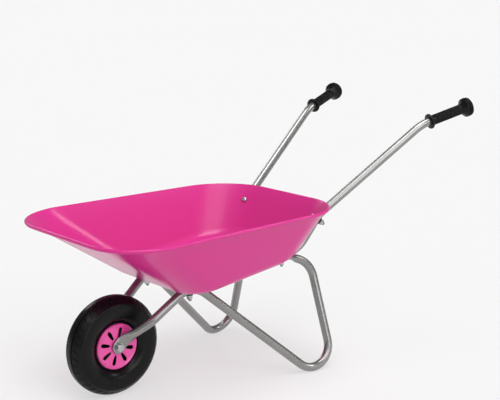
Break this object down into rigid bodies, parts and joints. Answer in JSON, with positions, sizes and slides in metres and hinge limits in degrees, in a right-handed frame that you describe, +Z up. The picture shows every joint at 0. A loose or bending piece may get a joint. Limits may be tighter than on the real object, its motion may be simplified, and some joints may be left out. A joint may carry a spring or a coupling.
{
  "type": "wheelbarrow",
  "caption": "Small one-wheel garden barrow: pressed steel tray on bent tube legs and handles, rubber grips and a wheel that turns on its axle.",
  "frame": {"origin": "on the floor, under the middle of the whole barrow", "axes": "+X forward to the wheel, +Y to the barrow's left, +Z up"},
  "size_m": [0.832, 0.4114, 0.4902],
  "materials": {
    "tray_paint": "high gloss enamel on pressed steel",
    "tube_paint": "silver-grey semi-gloss enamel on steel tube",
    "grip_rubber": "matt moulded rubber",
    "tyre_rubber": "matt rubber",
    "rim_plastic": "moulded black plastic",
    "cover_plastic": "moulded pink plastic",
    "bush_nylon": "moulded nylon",
    "zinc_steel": "zinc plated steel"
  },
  "bodies": {
    "frame": {"tray": "tray_paint", "lower_frame_left": "tube_paint", "handle_tube_left": "tube_paint", "grip_left": "grip_rubber", "lower_frame_right": "tube_paint", "handle_tube_right": "tube_paint", "grip_right": "grip_rubber", "front_bolt_left": "zinc_steel", "front_washer_left": "zinc_steel", "front_nut_left": "zinc_steel", "rear_bolt_left": "zinc_steel", "rear_washer_left": "zinc_steel", "rear_nut_left": "zinc_steel", "wall_bolt_left": "zinc_steel", "wall_washer_left": "zinc_steel", "wall_nut_left": "zinc_steel", "front_bolt_right": "zinc_steel", "front_washer_right": "zinc_steel", "front_nut_right": "zinc_steel", "rear_bolt_right": "zinc_steel", "rear_washer_right": "zinc_steel", "rear_nut_right": "zinc_steel", "wall_bolt_right": "zinc_steel", "wall_washer_right": "zinc_steel", "wall_nut_right": "zinc_steel", "axle_bolt": "zinc_steel", "axle_nut": "zinc_steel", "axle_washer_left": "zinc_steel", "axle_spacer_left": "zinc_steel", "axle_washer_right": "zinc_steel", "axle_spacer_right": "zinc_steel"},
    "wheel": {"tyre": "tyre_rubber", "wheel_rim": "rim_plastic", "hub_cover_left": "cover_plastic", "hub_cover_right": "cover_plastic", "hub_bush_left": "bush_nylon", "hub_bush_right": "bush_nylon"}
  },
  "joints": [
    {"name": "wheel_spin", "type": "hinge", "parent": "frame", "child": "wheel", "pos_m": [0.3135, 0, 0.09], "axis": [0, 1, 0], "continuous": true}
  ]
}
